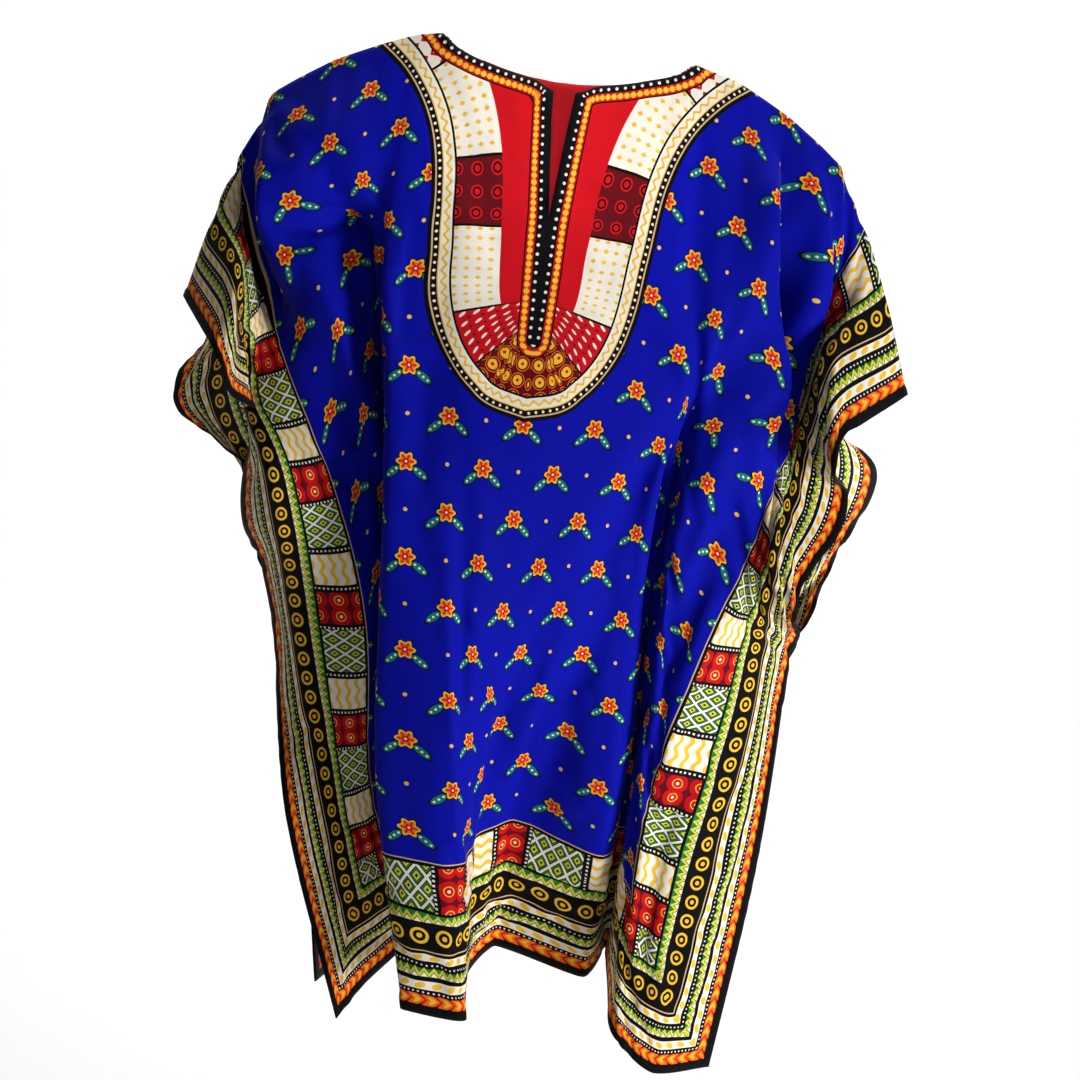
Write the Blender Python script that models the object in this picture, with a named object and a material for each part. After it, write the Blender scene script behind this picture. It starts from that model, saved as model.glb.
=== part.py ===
"""Dashiki shirt: a loose shirt cut from two full-width rectangles of cloth, hanging from its shoulders.

The front and the back are each one rectangle, PANEL_HALF to either side of the middle and
PANEL_LENGTH from the shoulder line to the hem. They are joined along the shoulder line and
down a short side seam, and are open at the neck, the cuffs, the side slits and the hem.

Frame: metres, +Z up, +X to the wearer's left as seen from the front, and the front facing -Y.
The origin is midway between the two neck corners, on the shoulder line.

Each panel hangs in upright folds. A fold is a line down the cloth, so its place on the flat
cloth (flat) never changes, and a table row gives where that line runs: how far across
(across) and how deep (depth) it lies at each level of LEVELS. Its height follows from the
length of cloth that has gone down to there.
"""

from collections import namedtuple

import bmesh
import bpy
import numpy as np

# Cut of the cloth
PANEL_HALF = 0.435      # middle of a panel to its cuff edge
PANEL_LENGTH = 0.79     # shoulder line to hem
SEAM_TOP = 0.37         # side seam, measured down from the shoulder line: the cuff opening ends here
SEAM_BOTTOM = 0.43      # and the side slit starts here
SEAM_BLEND = 0.05       # over this length above and below it the two edges come together
NECK_HALF = 0.10        # middle to neck corner
FRONT_NECK_DROP = 0.032
BACK_NECK_DROP = 0.033
SLIT_CORNER_DROP = 0.007    # the front neck edge dips this much more at the slit's corners
SLIT_CORNER_REACH = 0.014
SLIT_BOTTOM = 0.135     # front neck slit, measured down from the shoulder line
SLIT_WIDTH = 0.024      # across its open top
SLIT_REACH = 0.03       # how far from the slit its sides are pushed apart

# Cloth
WALL = 0.0015
SEAM_GAP = 0.0003
LEAST_FALL = 0.35       # cloth that runs mostly sideways still falls this share of its length

# Grid: divisions between neighbouring folds and between neighbouring levels
FOLD_DIVISIONS = 3
LEVEL_DIVISIONS = 4
SURFACE_SAMPLES = 241   # samples down a panel when its heights are worked out
STEEPEST_SLOPE = 3.0    # times the gentler of its two sides', so that a curve never overshoots a knot

# Shoulder line, from one cuff to the other: flat place, then where it hangs
ShoulderPoint = namedtuple("ShoulderPoint", "flat across height")
SHOULDER_LINE = (
    ShoulderPoint(-PANEL_HALF, -0.277, -0.226),
    ShoulderPoint(-0.370, -0.263, -0.170),
    ShoulderPoint(-0.300, -0.243, -0.110),
    ShoulderPoint(-0.245, -0.221, -0.064),
    ShoulderPoint(-0.210, -0.194, -0.042),
    ShoulderPoint(-0.160, -0.152, -0.020),
    ShoulderPoint(-0.100, -0.097, 0.000),
    ShoulderPoint(0.100, 0.097, 0.000),
    ShoulderPoint(0.160, 0.150, -0.022),
    ShoulderPoint(0.210, 0.191, -0.046),
    ShoulderPoint(0.245, 0.217, -0.068),
    ShoulderPoint(0.300, 0.244, -0.112),
    ShoulderPoint(0.370, 0.272, -0.176),
    ShoulderPoint(PANEL_HALF, 0.294, -0.236),
)

# Levels down the cloth at which a fold's place is given: chest, ribs, waist, seam, hip, hem
LEVELS = (0.10, 0.19, 0.29, 0.42, 0.60, PANEL_LENGTH)

# flat: place on the cut cloth; hang: share of its length that the cloth really falls, the rest
# being taken up by small creases; across and depth: where the fold lies at each level
Fold = namedtuple("Fold", "name flat hang across depth")
FRONT_FOLDS = (
    Fold("right cuff edge", -PANEL_HALF, 0.91,
         (-0.231, -0.213, -0.224, -0.190, -0.155, -0.100), (-0.085, -0.010, 0.044, 0.044, -0.016, -0.014)),
    Fold("right sleeve", -0.370, 0.90,
         (-0.225, -0.225, -0.191, -0.169, -0.125, -0.080), (-0.065, -0.010, -0.049, -0.014, -0.018, 0.006)),
    Fold("right sleeve valley", -0.300, 0.89,
         (-0.222, -0.191, -0.149, -0.109, -0.091, -0.046), (0.012, -0.026, -0.038, -0.038, -0.004, 0.055)),
    Fold("right body edge", -0.245, 0.93,
         (-0.221, -0.163, -0.127, -0.093, -0.068, -0.014), (-0.050, -0.050, -0.038, -0.008, 0.032, 0.074)),
    Fold("right pleat valley", -0.190, 0.96,
         (-0.172, -0.131, -0.112, -0.066, -0.044, -0.012), (-0.044, 0.004, 0.000, 0.006, 0.010, 0.014)),
    Fold("right pleat edge", -0.120, 0.98,
         (-0.118, -0.121, -0.111, -0.099, -0.085, -0.045), (-0.034, -0.058, -0.068, -0.076, -0.070, -0.078)),
    Fold("step edge", -0.060, 0.99,
         (-0.060, -0.061, -0.057, -0.045, -0.020, 0.006), (-0.034, -0.056, -0.072, -0.086, -0.090, -0.086)),
    Fold("step foot", 0.020, 0.99,
         (0.018, 0.018, 0.016, 0.014, 0.000, 0.004), (-0.034, -0.056, -0.070, -0.070, -0.030, 0.000)),
    Fold("middle crease", 0.065, 0.98,
         (0.060, 0.057, 0.055, 0.046, 0.031, 0.026), (-0.034, -0.054, -0.062, -0.060, -0.014, 0.036)),
    Fold("middle fold", 0.135, 0.97,
         (0.124, 0.119, 0.111, 0.101, 0.103, 0.102), (-0.036, -0.050, -0.052, -0.040, -0.032, 0.018)),
    Fold("left pleat valley", 0.190, 0.95,
         (0.172, 0.156, 0.121, 0.118, 0.126, 0.121), (-0.048, -0.048, -0.030, -0.008, 0.020, 0.066)),
    Fold("left body edge", 0.245, 0.92,
         (0.206, 0.203, 0.142, 0.120, 0.119, 0.124), (-0.022, -0.044, -0.058, -0.052, -0.020, 0.012)),
    Fold("left sleeve valley", 0.300, 0.89,
         (0.214, 0.207, 0.188, 0.156, 0.128, 0.131), (0.014, 0.001, -0.047, -0.052, -0.044, -0.041)),
    Fold("left sleeve", 0.370, 0.93,
         (0.217, 0.217, 0.202, 0.207, 0.187, 0.166), (-0.053, -0.010, -0.065, -0.006, -0.032, -0.041)),
    Fold("left cuff edge", PANEL_HALF, 0.95,
         (0.235, 0.260, 0.227, 0.238, 0.233, 0.215), (-0.085, -0.010, -0.060, 0.040, 0.013, -0.009)),
)
BACK_FOLDS = (
    Fold("right cuff edge", -PANEL_HALF, 0.88,
         (-0.270, -0.302, -0.231, -0.190, -0.149, -0.121), (0.091, 0.132, 0.078, 0.048, 0.024, 0.010)),
    Fold("right sleeve", -0.370, 0.88,
         (-0.253, -0.264, -0.224, -0.181, -0.135, -0.103), (0.063, 0.105, 0.085, 0.084, 0.085, 0.103)),
    Fold("right sleeve valley", -0.300, 0.88,
         (-0.222, -0.216, -0.193, -0.152, -0.112, -0.065), (0.036, 0.042, 0.066, 0.096, 0.126, 0.148)),
    Fold("right body edge", -0.245, 0.92,
         (-0.222, -0.202, -0.170, -0.122, -0.090, -0.042), (0.046, 0.062, 0.074, 0.073, 0.084, 0.106)),
    Fold("right pleat", -0.190, 0.95,
         (-0.178, -0.166, -0.144, -0.104, -0.064, -0.023), (0.044, 0.066, 0.092, 0.114, 0.140, 0.168)),
    Fold("right trough", -0.120, 0.97,
         (-0.118, -0.112, -0.099, -0.068, -0.035, 0.002), (0.036, 0.058, 0.073, 0.079, 0.092, 0.116)),
    Fold("right middle fold", -0.060, 0.98,
         (-0.060, -0.060, -0.054, -0.032, -0.004, 0.015), (0.036, 0.064, 0.090, 0.114, 0.144, 0.174)),
    Fold("middle trough", 0.000, 0.99,
         (0.000, 0.000, 0.000, 0.008, 0.027, 0.040), (0.036, 0.058, 0.075, 0.079, 0.090, 0.112)),
    Fold("left middle fold", 0.060, 0.98,
         (0.060, 0.060, 0.056, 0.052, 0.057, 0.065), (0.036, 0.064, 0.090, 0.112, 0.142, 0.166)),
    Fold("left trough", 0.120, 0.97,
         (0.118, 0.112, 0.103, 0.090, 0.086, 0.094), (0.036, 0.058, 0.073, 0.078, 0.091, 0.108)),
    Fold("left pleat", 0.190, 0.95,
         (0.178, 0.165, 0.148, 0.126, 0.117, 0.124), (0.044, 0.066, 0.090, 0.113, 0.138, 0.158)),
    Fold("left body edge", 0.245, 0.92,
         (0.222, 0.202, 0.178, 0.157, 0.150, 0.149), (0.044, 0.060, 0.070, 0.075, 0.086, 0.096)),
    Fold("left sleeve valley", 0.300, 0.88,
         (0.226, 0.220, 0.208, 0.187, 0.180, 0.176), (0.038, 0.042, 0.064, 0.096, 0.122, 0.130)),
    Fold("left sleeve", 0.370, 0.90,
         (0.250, 0.252, 0.243, 0.223, 0.217, 0.198), (0.062, 0.084, 0.088, 0.084, 0.086, 0.086)),
    Fold("left cuff edge", PANEL_HALF, 0.84,
         (0.245, 0.299, 0.270, 0.241, 0.230, 0.211), (0.080, 0.104, 0.090, 0.050, 0.033, 0.012)),
)

FRONT_COLOR = (0.010, 0.016, 0.330, 1.0)
BACK_COLOR = (0.010, 0.016, 0.260, 1.0)
CLOTH_ROUGHNESS = 0.75


def clear_scene():
    for obj in list(bpy.data.objects):
        bpy.data.objects.remove(obj, do_unlink=True)


def cloth_material(name, color):
    """A matt, dyed cotton."""
    material = bpy.data.materials.new(name)
    material.use_nodes = True
    shader = material.node_tree.nodes["Principled BSDF"]
    shader.inputs["Base Color"].default_value = color
    shader.inputs["Roughness"].default_value = CLOTH_ROUGHNESS
    shader.inputs["Metallic"].default_value = 0.0
    return material


def smooth(knots, values, places):
    """Values at the places: a cubic through every knot, level where it turns, so it never overshoots."""
    knots = np.asarray(knots, float)
    values = np.asarray(values, float)
    rises = np.diff(values, axis=0) / np.diff(knots).reshape((-1,) + (1,) * (values.ndim - 1))
    before, after = rises[:-1], rises[1:]
    steepest = STEEPEST_SLOPE * np.minimum(np.abs(before), np.abs(after))
    inner = np.where(before * after > 0, np.clip((before + after) / 2, -steepest, steepest), 0.0)
    slopes = np.concatenate([rises[:1], inner, rises[-1:]])
    index = np.clip(np.searchsorted(knots, places) - 1, 0, len(knots) - 2)
    shape = (-1,) + (1,) * (values.ndim - 1)
    width = (knots[index + 1] - knots[index]).reshape(shape)
    t = (places - knots[index]).reshape(shape) / width
    return (
        values[index] * (1 + 2 * t) * (1 - t) ** 2
        + slopes[index] * width * t * (1 - t) ** 2
        + values[index + 1] * t**2 * (3 - 2 * t)
        - slopes[index + 1] * width * t**2 * (1 - t)
    )


def shoulder_line(flat):
    """Across and height of the shoulder line at these flat places."""
    places = [point.flat for point in SHOULDER_LINE]
    across = np.interp(flat, places, [point.across for point in SHOULDER_LINE])
    height = np.interp(flat, places, [point.height for point in SHOULDER_LINE])
    return across, height


def fold_lines(folds):
    """Points down every fold, as an array (fold, sample, xyz), and the samples' lengths down the cloth."""
    flat = np.array([fold.flat for fold in folds])
    top_across, top_height = shoulder_line(flat)
    down = np.linspace(0.0, PANEL_LENGTH, SURFACE_SAMPLES)
    levels = (0.0,) + LEVELS
    across = np.column_stack([top_across, [fold.across for fold in folds]])
    depth = np.column_stack([np.zeros(len(folds)), [fold.depth for fold in folds]])
    x = smooth(levels, across.T, down).T
    y = smooth(levels, depth.T, down).T
    step = down[1] - down[0]
    fall = np.sqrt(np.maximum(step**2 - np.diff(x) ** 2 - np.diff(y) ** 2, (LEAST_FALL * step) ** 2))
    fall *= np.array([fold.hang for fold in folds])[:, None]
    z = top_height[:, None] - np.column_stack([np.zeros(len(folds)), np.cumsum(fall, axis=1)])
    return np.stack([x, y, z], axis=2), down


def seam_share(down):
    """1 along the side seam and 0 away from it, easing in and out over SEAM_BLEND."""
    away = np.maximum(SEAM_TOP - down, down - SEAM_BOTTOM)
    share = np.clip(1.0 - away / SEAM_BLEND, 0.0, 1.0)
    return share**2 * (3.0 - 2.0 * share)


def hung_lines():
    """Both panels' fold lines, their outer edges drawn together along the side seams."""
    front, down = fold_lines(FRONT_FOLDS)
    back = fold_lines(BACK_FOLDS)[0]
    share = seam_share(down)[:, None]
    for edge in (0, -1):
        seam = (front[edge] + back[edge]) / 2
        front[edge] += (seam - front[edge]) * share
        back[edge] += (seam - back[edge]) * share
    return front, back, down


def neckline(flat, drop):
    """Length of cloth cut away below the shoulder line at these flat places: a half oval."""
    share = np.clip(np.abs(flat) / NECK_HALF, 0.0, 1.0)
    return drop * (1.0 - share**2) ** 0.7


def slit_push(flat, down):
    """How far the front slit's sides are pushed out from the middle."""
    open_share = np.clip(1.0 - down / SLIT_BOTTOM, 0.0, 1.0)
    return 0.5 * SLIT_WIDTH * open_share * np.exp(-np.abs(flat) / SLIT_REACH)


def divided(stops, divisions):
    """The stops, with each space between them divided evenly."""
    shares = np.arange(len(stops) * divisions - divisions + 1) / divisions
    return np.interp(shares, np.arange(len(stops)), stops)


def half_panel(folds, lines, down, side, neck_drop, slit):
    """Points (column, row, xyz) of one half of a panel, from the middle out, and the rows' cloth lengths."""
    edges = [0.0] + sorted(abs(fold.flat) for fold in folds if side * fold.flat > 0)
    columns = side * divided(np.unique(edges), FOLD_DIVISIONS)
    surface = smooth([fold.flat for fold in folds], lines, columns)
    top = neckline(columns, neck_drop)
    if slit:
        top += SLIT_CORNER_DROP * np.exp(-((columns / SLIT_CORNER_REACH) ** 2))
    share = divided(np.array((0.0,) + LEVELS), LEVEL_DIVISIONS) / PANEL_LENGTH
    rows = top[:, None] + (PANEL_LENGTH - top[:, None]) * share
    place = rows / (down[1] - down[0])
    index = np.minimum(place.astype(int), SURFACE_SAMPLES - 2)
    part = (place - index)[:, :, None]
    column = np.arange(len(columns))[:, None]
    points = surface[column, index] * (1 - part) + surface[column, index + 1] * part
    if slit:
        points[:, :, 0] += side * slit_push(columns[:, None], rows)
    return points, rows


def panel(name, folds, lines, down, front, material):
    """One panel as a wall: its inner face is the hanging surface, and WALL lies outside it."""
    outward = -1.0 if front else 1.0
    neck_drop = FRONT_NECK_DROP if front else BACK_NECK_DROP
    mesh = bmesh.new()
    middle = []
    for side in (-1, 1):
        points, rows = half_panel(folds, lines, down, side, neck_drop, front)
        points[:, :, 1] += outward * SEAM_GAP / 2
        corners = [[mesh.verts.new(point) for point in column] for column in points]
        middle.append(corners[0])
        for left, right in zip(corners[:-1], corners[1:]):
            for k in range(len(left) - 1):
                face = (left[k], left[k + 1], right[k + 1], right[k])
                mesh.faces.new(face if side * outward < 0 else face[::-1])
    joined = SLIT_BOTTOM if front else 0.0
    pairs = {b: a for a, b, length in zip(middle[0], middle[1], rows[0]) if length >= joined}
    bmesh.ops.weld_verts(mesh, targetmap=pairs)
    data = bpy.data.meshes.new(name)
    mesh.to_mesh(data)
    mesh.free()
    data.materials.append(material)
    data.shade_smooth()
    obj = bpy.data.objects.new(name, data)
    bpy.context.scene.collection.objects.link(obj)
    wall = obj.modifiers.new("Wall", "SOLIDIFY")
    wall.thickness = WALL
    wall.offset = 1.0
    return obj


def main():
    clear_scene()
    front, back, down = hung_lines()
    panel("front_panel", FRONT_FOLDS, front, down, True, cloth_material("dyed front", FRONT_COLOR))
    panel("back_panel", BACK_FOLDS, back, down, False, cloth_material("dyed back", BACK_COLOR))


if __name__ == "__main__":
    main()
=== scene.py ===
"""Dashiki shirt: the printed, hanging cloth, its stitching, and the stage that it is shown on."""

import math
from collections import namedtuple

import bpy
import numpy as np
from mathutils import Matrix, Vector


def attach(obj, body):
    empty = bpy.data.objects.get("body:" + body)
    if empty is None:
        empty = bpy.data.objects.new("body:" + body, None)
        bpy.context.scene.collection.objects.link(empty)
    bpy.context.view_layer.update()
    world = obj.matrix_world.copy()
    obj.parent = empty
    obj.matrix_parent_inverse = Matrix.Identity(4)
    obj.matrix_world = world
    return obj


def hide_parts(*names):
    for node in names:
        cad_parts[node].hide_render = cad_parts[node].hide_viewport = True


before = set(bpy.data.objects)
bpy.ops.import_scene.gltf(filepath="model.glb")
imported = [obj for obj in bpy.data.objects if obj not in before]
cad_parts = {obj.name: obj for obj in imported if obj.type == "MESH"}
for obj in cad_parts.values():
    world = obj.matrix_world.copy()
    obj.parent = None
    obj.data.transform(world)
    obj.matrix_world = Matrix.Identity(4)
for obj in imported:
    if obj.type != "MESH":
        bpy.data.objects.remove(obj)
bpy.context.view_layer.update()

bl_info = {
    "name": "Dashiki Shirt",
    "version": (1, 0, 0),
    "blender": (4, 5, 0),
    "location": "View3D > Sidebar > Dashiki",
    "description": "A loose printed cotton shirt hanging from its shoulders",
    "category": "Object",
}

MM = 0.001

# ---- How the cloth hangs ----

# Shoulder line, from one cuff to the other: flat place, then where it hangs
ShoulderPoint = namedtuple("ShoulderPoint", "flat across height")
SHOULDER_LINE = (
    ShoulderPoint(-0.435, -0.277, -0.226),
    ShoulderPoint(-0.370, -0.263, -0.170),
    ShoulderPoint(-0.300, -0.243, -0.110),
    ShoulderPoint(-0.245, -0.221, -0.064),
    ShoulderPoint(-0.210, -0.194, -0.042),
    ShoulderPoint(-0.160, -0.152, -0.020),
    ShoulderPoint(-0.100, -0.097, 0.000),
    ShoulderPoint(0.100, 0.097, 0.000),
    ShoulderPoint(0.160, 0.150, -0.022),
    ShoulderPoint(0.210, 0.191, -0.046),
    ShoulderPoint(0.245, 0.217, -0.068),
    ShoulderPoint(0.300, 0.244, -0.112),
    ShoulderPoint(0.370, 0.272, -0.176),
    ShoulderPoint(0.435, 0.294, -0.236),
)

# Levels down the cloth at which a fold's place is given: chest, ribs, waist, seam, hip, hem
LEVELS = (0.10, 0.19, 0.29, 0.42, 0.60, 0.79)

# flat: place on the cut cloth; hang: share of its length that the cloth really falls, the rest
# being taken up by small creases; across and depth: where the fold lies at each level
Fold = namedtuple("Fold", "name flat hang across depth")
FRONT_FOLDS = (
    Fold("right cuff edge", -0.435, 0.91,
         (-0.231, -0.213, -0.224, -0.190, -0.155, -0.100), (-0.085, -0.010, 0.044, 0.044, -0.016, -0.014)),
    Fold("right sleeve", -0.370, 0.90,
         (-0.225, -0.225, -0.191, -0.169, -0.125, -0.080), (-0.065, -0.010, -0.049, -0.014, -0.018, 0.006)),
    Fold("right sleeve valley", -0.300, 0.89,
         (-0.222, -0.191, -0.149, -0.109, -0.091, -0.046), (0.012, -0.026, -0.038, -0.038, -0.004, 0.055)),
    Fold("right body edge", -0.245, 0.93,
         (-0.221, -0.163, -0.127, -0.093, -0.068, -0.014), (-0.050, -0.050, -0.038, -0.008, 0.032, 0.074)),
    Fold("right pleat valley", -0.190, 0.96,
         (-0.172, -0.131, -0.112, -0.066, -0.044, -0.012), (-0.044, 0.004, 0.000, 0.006, 0.010, 0.014)),
    Fold("right pleat edge", -0.120, 0.98,
         (-0.118, -0.121, -0.111, -0.099, -0.085, -0.045), (-0.034, -0.058, -0.068, -0.076, -0.070, -0.078)),
    Fold("step edge", -0.060, 0.99,
         (-0.060, -0.061, -0.057, -0.045, -0.020, 0.006), (-0.034, -0.056, -0.072, -0.086, -0.090, -0.086)),
    Fold("step foot", 0.020, 0.99,
         (0.018, 0.018, 0.016, 0.014, 0.000, 0.004), (-0.034, -0.056, -0.070, -0.070, -0.030, 0.000)),
    Fold("middle crease", 0.065, 0.98,
         (0.060, 0.057, 0.055, 0.046, 0.031, 0.026), (-0.034, -0.054, -0.062, -0.060, -0.014, 0.036)),
    Fold("middle fold", 0.135, 0.97,
         (0.124, 0.119, 0.111, 0.101, 0.103, 0.102), (-0.036, -0.050, -0.052, -0.040, -0.032, 0.018)),
    Fold("left pleat valley", 0.190, 0.95,
         (0.172, 0.156, 0.121, 0.118, 0.126, 0.121), (-0.048, -0.048, -0.030, -0.008, 0.020, 0.066)),
    Fold("left body edge", 0.245, 0.92,
         (0.206, 0.203, 0.142, 0.120, 0.119, 0.124), (-0.022, -0.044, -0.058, -0.052, -0.020, 0.012)),
    Fold("left sleeve valley", 0.300, 0.89,
         (0.214, 0.207, 0.188, 0.156, 0.128, 0.131), (0.014, 0.001, -0.047, -0.052, -0.044, -0.041)),
    Fold("left sleeve", 0.370, 0.93,
         (0.217, 0.217, 0.202, 0.207, 0.187, 0.166), (-0.053, -0.010, -0.065, -0.006, -0.032, -0.041)),
    Fold("left cuff edge", 0.435, 0.95,
         (0.235, 0.260, 0.227, 0.238, 0.233, 0.215), (-0.085, -0.010, -0.060, 0.040, 0.013, -0.009)),
)
BACK_FOLDS = (
    Fold("right cuff edge", -0.435, 0.88,
         (-0.270, -0.302, -0.231, -0.190, -0.149, -0.121), (0.091, 0.132, 0.078, 0.048, 0.024, 0.010)),
    Fold("right sleeve", -0.370, 0.88,
         (-0.253, -0.264, -0.224, -0.181, -0.135, -0.103), (0.063, 0.105, 0.085, 0.084, 0.085, 0.103)),
    Fold("right sleeve valley", -0.300, 0.88,
         (-0.222, -0.216, -0.193, -0.152, -0.112, -0.065), (0.036, 0.042, 0.066, 0.096, 0.126, 0.148)),
    Fold("right body edge", -0.245, 0.92,
         (-0.222, -0.202, -0.170, -0.122, -0.090, -0.042), (0.046, 0.062, 0.074, 0.073, 0.084, 0.106)),
    Fold("right pleat", -0.190, 0.95,
         (-0.178, -0.166, -0.144, -0.104, -0.064, -0.023), (0.044, 0.066, 0.092, 0.114, 0.140, 0.168)),
    Fold("right trough", -0.120, 0.97,
         (-0.118, -0.112, -0.099, -0.068, -0.035, 0.002), (0.036, 0.058, 0.073, 0.079, 0.092, 0.116)),
    Fold("right middle fold", -0.060, 0.98,
         (-0.060, -0.060, -0.054, -0.032, -0.004, 0.015), (0.036, 0.064, 0.090, 0.114, 0.144, 0.174)),
    Fold("middle trough", 0.000, 0.99,
         (0.000, 0.000, 0.000, 0.008, 0.027, 0.040), (0.036, 0.058, 0.075, 0.079, 0.090, 0.112)),
    Fold("left middle fold", 0.060, 0.98,
         (0.060, 0.060, 0.056, 0.052, 0.057, 0.065), (0.036, 0.064, 0.090, 0.112, 0.142, 0.166)),
    Fold("left trough", 0.120, 0.97,
         (0.118, 0.112, 0.103, 0.090, 0.086, 0.094), (0.036, 0.058, 0.073, 0.078, 0.091, 0.108)),
    Fold("left pleat", 0.190, 0.95,
         (0.178, 0.165, 0.148, 0.126, 0.117, 0.124), (0.044, 0.066, 0.090, 0.113, 0.138, 0.158)),
    Fold("left body edge", 0.245, 0.92,
         (0.222, 0.202, 0.178, 0.157, 0.150, 0.149), (0.044, 0.060, 0.070, 0.075, 0.086, 0.096)),
    Fold("left sleeve valley", 0.300, 0.88,
         (0.226, 0.220, 0.208, 0.187, 0.180, 0.176), (0.038, 0.042, 0.064, 0.096, 0.122, 0.130)),
    Fold("left sleeve", 0.370, 0.90,
         (0.250, 0.252, 0.243, 0.223, 0.217, 0.198), (0.062, 0.084, 0.088, 0.084, 0.086, 0.086)),
    Fold("left cuff edge", 0.435, 0.84,
         (0.245, 0.299, 0.270, 0.241, 0.230, 0.211), (0.080, 0.104, 0.090, 0.050, 0.033, 0.012)),
)

# Small creases and swells: where the middle of each lies on the flat cloth, the way it runs
# (degrees from straight down, turning towards +X), its length, half its width, and how far
# it stands out (or in, when negative)
Crease = namedtuple("Crease", "flat down angle length width rise")
FRONT_CREASES = (
    Crease(0.226, 0.115, 24, 0.28, 0.015, -0.0380),
    Crease(0.255, 0.104, 22, 0.24, 0.013, 0.0130),
    Crease(-0.292, 0.100, 6, 0.22, 0.015, -0.0150),
    Crease(-0.186, 0.125, 8, 0.15, 0.015, -0.0080),
    Crease(-0.222, 0.148, 56, 0.14, 0.009, -0.0030),
    Crease(-0.143, 0.25, -2, 0.44, 0.013, -0.0110),
    Crease(-0.122, 0.27, -1, 0.46, 0.007, 0.0030),
    Crease(-0.150, 0.47, 3, 0.24, 0.014, -0.0060),
    Crease(-0.205, 0.17, 6, 0.20, 0.020, 0.0030),
    Crease(-0.060, 0.50, 1, 0.34, 0.007, 0.0036),
    Crease(-0.044, 0.50, 1, 0.34, 0.009, -0.0050),
    Crease(0.000, 0.60, -6, 0.26, 0.012, 0.0040),
    Crease(0.030, 0.56, -5, 0.26, 0.010, -0.0044),
    Crease(0.062, 0.53, -7, 0.26, 0.010, 0.0046),
    Crease(0.086, 0.58, -4, 0.26, 0.011, -0.0044),
    Crease(0.112, 0.56, 1, 0.30, 0.012, 0.0036),
    Crease(0.040, 0.70, -6, 0.14, 0.008, 0.0026),
    Crease(0.012, 0.335, 88, 0.13, 0.004, -0.0009),
    Crease(0.136, 0.33, 4, 0.30, 0.012, 0.0034),
    Crease(0.158, 0.35, 6, 0.34, 0.014, -0.0064),
    Crease(0.168, 0.62, 0, 0.30, 0.012, -0.0060),
    Crease(0.185, 0.45, -24, 0.10, 0.008, -0.0022),
    Crease(0.205, 0.49, -32, 0.09, 0.007, 0.0018),
    Crease(0.170, 0.53, -20, 0.11, 0.009, 0.0020),
    Crease(0.235, 0.41, -28, 0.10, 0.008, -0.0020),
    Crease(0.215, 0.20, 10, 0.20, 0.018, 0.0026),
    Crease(0.275, 0.30, 20, 0.16, 0.012, -0.0026),
    Crease(-0.270, 0.33, -26, 0.16, 0.012, -0.0026),
    Crease(-0.330, 0.30, -34, 0.12, 0.010, 0.0022),
    Crease(-0.395, 0.16, -60, 0.10, 0.010, 0.0028),
    Crease(-0.400, 0.27, -50, 0.09, 0.009, -0.0026),
    Crease(0.395, 0.17, 55, 0.10, 0.010, 0.0026),
    Crease(0.400, 0.30, 48, 0.09, 0.009, -0.0024),
    Crease(-0.405, 0.52, 8, 0.18, 0.010, 0.0022),
    Crease(-0.380, 0.66, -6, 0.18, 0.009, -0.0020),
    Crease(0.400, 0.56, -8, 0.20, 0.010, 0.0020),
    Crease(0.360, 0.67, 5, 0.18, 0.009, -0.0018),
)
BACK_CREASES = (
    Crease(-0.180, 0.22, -6, 0.22, 0.018, -0.0030),
    Crease(-0.090, 0.30, 3, 0.30, 0.014, 0.0024),
    Crease(0.000, 0.16, 0, 0.18, 0.020, -0.0026),
    Crease(0.085, 0.34, -4, 0.30, 0.013, -0.0024),
    Crease(0.175, 0.24, 8, 0.22, 0.018, 0.0030),
    Crease(-0.250, 0.40, -24, 0.14, 0.010, -0.0024),
    Crease(0.255, 0.42, 26, 0.14, 0.010, 0.0024),
    Crease(-0.030, 0.60, 2, 0.26, 0.010, 0.0022),
    Crease(0.150, 0.62, -3, 0.24, 0.010, -0.0022),
    Crease(-0.160, 0.64, 5, 0.22, 0.010, 0.0022),
    Crease(-0.390, 0.20, -55, 0.10, 0.010, -0.0026),
    Crease(0.395, 0.22, 52, 0.10, 0.010, 0.0026),
    Crease(0.390, 0.60, -6, 0.20, 0.010, 0.0020),
    Crease(-0.395, 0.58, 6, 0.20, 0.010, -0.0020),
)

# Half width of the printed yoke at lengths down from the shoulder line
YokePoint = namedtuple("YokePoint", "down half_width")
YOKE_OUTLINE = (
    YokePoint(0.000, 0.150),
    YokePoint(0.030, 0.124),
    YokePoint(0.062, 0.104),
    YokePoint(0.100, 0.092),
    YokePoint(0.160, 0.086),
    YokePoint(0.215, 0.080),
    YokePoint(0.250, 0.066),
    YokePoint(0.272, 0.047),
    YokePoint(0.285, 0.027),
    YokePoint(0.291, 0.000),
)
NECK_BAND_END = 0.232       # where the bands down the slit's two sides meet
OVER_SHOULDER = 0.100       # how far the outlines run on past the shoulder line
OUTLINE_SAMPLES = 500
NECK_SAMPLES = 60
NECK_EDGE_END = 0.006       # the neck edge turns down this far from the middle
PLACES_AT_ONCE = 4000       # so that the distances to the outline fit in memory
FIELD_TILE = (62.0, 74.0)    # width and height of the flower repeat, in millimetres on the flat cloth

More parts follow.
